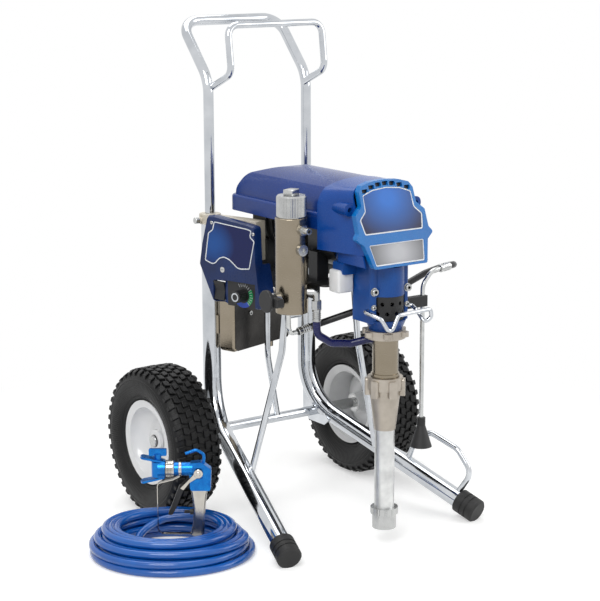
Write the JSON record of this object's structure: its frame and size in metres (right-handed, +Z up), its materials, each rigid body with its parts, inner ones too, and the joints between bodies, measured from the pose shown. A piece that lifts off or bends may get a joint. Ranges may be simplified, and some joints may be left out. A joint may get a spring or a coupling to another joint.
{
  "type": "airless paint sprayer",
  "caption": "Electric airless paint sprayer on a chromed two-wheeled cart with spray gun and coiled hose.",
  "frame": {"origin": "bottom centre of the box of the rigid sprayer, its cart and gun, without the hose", "axes": "+Z up, the pump and control side faces -Y, +X to the right seen from the front"},
  "size_m": [0.882, 0.657, 1.0601],
  "materials": {
    "chrome_tube": "polished",
    "black_rubber": "matte",
    "tyre_rubber": "matte",
    "white_paint": "gloss",
    "bare_steel": "satin",
    "black_paint": "satin",
    "navy_plastic": "satin",
    "blue_plastic": "satin",
    "blue_paint": "satin",
    "bezel_blue": "satin",
    "black_plastic": "matte",
    "cast_nickel": "cast",
    "bronze_grey": "satin",
    "pale_paint": "satin",
    "satin_aluminium": "satin",
    "hose_blue": "gloss",
    "black_hose": "satin",
    "anodised_blue": "satin"
  },
  "bodies": {
    "cart": {"axle": "bare_steel", "axle_beam": "chrome_tube", "board_enclosure": "bronze_grey", "centre_braces": "chrome_tube", "control_cover": "navy_plastic", "control_enclosure": "pale_paint", "cover_bezel": "bezel_blue", "drain_deflector": "black_plastic", "drain_hose": "black_hose", "drain_tubes": "bare_steel", "drive_housing": "blue_paint", "filter_body": "bronze_grey", "filter_cap": "bronze_grey", "filter_element": "black_plastic", "fluid_fittings": "bare_steel", "foot_caps": "black_rubber", "front_braces": "chrome_tube", "front_cover": "blue_plastic", "gun_body": "anodised_blue", "gun_handle": "satin_aluminium", "hose_coil": "hose_blue", "hose_fittings": "bare_steel", "hose_tail": "hose_blue", "inlet_ball": "bare_steel", "intake_housing": "cast_nickel", "jam_nut": "cast_nickel", "leg_loop": "chrome_tube", "motor_base": "black_paint", "motor_housing": "black_paint", "motor_shroud": "navy_plastic", "pail_hook": "chrome_tube", "pump_cylinder": "bronze_grey", "pump_hose": "black_hose", "rail_collars": "chrome_tube", "rail_left": "chrome_tube", "rail_right": "chrome_tube", "rod_cover": "black_plastic", "strainer": "bare_steel", "suction_tube": "satin_aluminium"},
    "wheel_left": {"tyre_left": "tyre_rubber", "rim_left": "white_paint", "bearings_left": "bare_steel"},
    "wheel_right": {"tyre_right": "tyre_rubber", "rim_right": "white_paint", "bearings_right": "bare_steel"},
    "handle_hoop": {"handle": "chrome_tube"},
    "plunger_left": {"lock_plunger_left": "chrome_tube"},
    "plunger_right": {"lock_plunger_right": "chrome_tube"},
    "rotor": {"motor_rotor": "bare_steel"},
    "lay_gear": {"reduction_gear": "bare_steel"},
    "crank": {"crankshaft": "bare_steel"},
    "pump_drive": {"pump_rod": "bare_steel", "connecting_rod": "bare_steel"},
    "prime_knob": {"prime_handle": "black_plastic"},
    "rocker": {"power_switch": "black_plastic"},
    "knob": {"pressure_knob": "black_plastic"},
    "trigger": {"gun_trigger": "black_plastic"},
    "lock_lever": {"trigger_lock": "black_plastic"},
    "guard": {"tip_guard": "anodised_blue"},
    "tip": {"spray_tip": "anodised_blue"}
  },
  "joints": [
    {"name": "wheel_spin_left", "type": "hinge", "parent": "cart", "child": "wheel_left", "pos_m": [-0.21028, 0.16549, 0.163], "axis": [1, 0, 0], "continuous": true},
    {"name": "wheel_spin_right", "type": "hinge", "parent": "cart", "child": "wheel_right", "pos_m": [0.32372, 0.16549, 0.163], "axis": [1, 0, 0], "continuous": true},
    {"name": "handle_slide", "type": "slide", "parent": "cart", "child": "handle_hoop", "axis": [0, 0, -1], "range_m": [0, 0.25]},
    {"name": "plunger_pull_left", "type": "slide", "parent": "cart", "child": "plunger_left", "axis": [-1, 0, 0], "range_m": [0, 0.006], "stiffness_N_per_m": 1500},
    {"name": "plunger_pull_right", "type": "slide", "parent": "cart", "child": "plunger_right", "axis": [1, 0, 0], "range_m": [0, 0.006], "stiffness_N_per_m": 1500},
    {"name": "rotor_spin", "type": "hinge", "parent": "cart", "child": "rotor", "pos_m": [0.05672, -0.18651, 0.64], "axis": [0, 1, 0], "continuous": true},
    {"name": "lay_gear_spin", "type": "hinge", "parent": "cart", "child": "lay_gear", "pos_m": [0.10484, -0.18651, 0.64], "axis": [0, 1, 0], "continuous": true},
    {"name": "crank_spin", "type": "hinge", "parent": "cart", "child": "crank", "pos_m": [0.05672, -0.27151, 0.64], "axis": [0, 1, 0], "continuous": true},
    {"name": "pump_stroke", "type": "slide", "parent": "cart", "child": "pump_drive", "axis": [0, 0, -1], "range_m": [0, 0.028]},
    {"name": "prime_turn", "type": "hinge", "parent": "cart", "child": "prime_knob", "pos_m": [-0.13478, -0.13951, 0.513], "axis": [-1, 0, 0], "range_deg": [0, 90]},
    {"name": "rocker_tilt", "type": "hinge", "parent": "cart", "child": "rocker", "pos_m": [-0.09792, 0.10588, 0.4895], "axis": [0.2924, -0.9563, 0], "range_deg": [0, 14]},
    {"name": "knob_turn", "type": "hinge", "parent": "cart", "child": "knob", "pos_m": [-0.08399, 0.04322, 0.486], "axis": [-0.9563, -0.2924, 0], "range_deg": [0, 270]},
    {"name": "trigger_squeeze", "type": "hinge", "parent": "cart", "child": "trigger", "pos_m": [-0.28, -0.0928, 0.169], "axis": [-0.5714, -0.8207, 0], "range_deg": [0, 10.5], "stiffness_Nm_per_rad": 1.5},
    {"name": "lock_turn", "type": "hinge", "parent": "cart", "child": "lock_lever", "pos_m": [-0.29247, -0.08411, 0.085], "axis": [-0.8207, 0.5714, 0], "range_deg": [0, 90]},
    {"name": "guard_turn", "type": "hinge", "parent": "cart", "child": "guard", "pos_m": [-0.33744, -0.0528, 0.176], "axis": [-0.8207, 0.5714, 0], "range_deg": [0, 90]},
    {"name": "tip_turn", "type": "hinge", "parent": "guard", "child": "tip", "pos_m": [-0.34729, -0.04594, 0.186], "axis": [0, 0, 1], "range_deg": [0, 180]}
  ],
  "couplings": [
    {"joint": "lay_gear_spin", "follows": "rotor_spin", "ratio": -0.33333},
    {"joint": "crank_spin", "follows": "rotor_spin", "ratio": 0.11111}
  ]
}
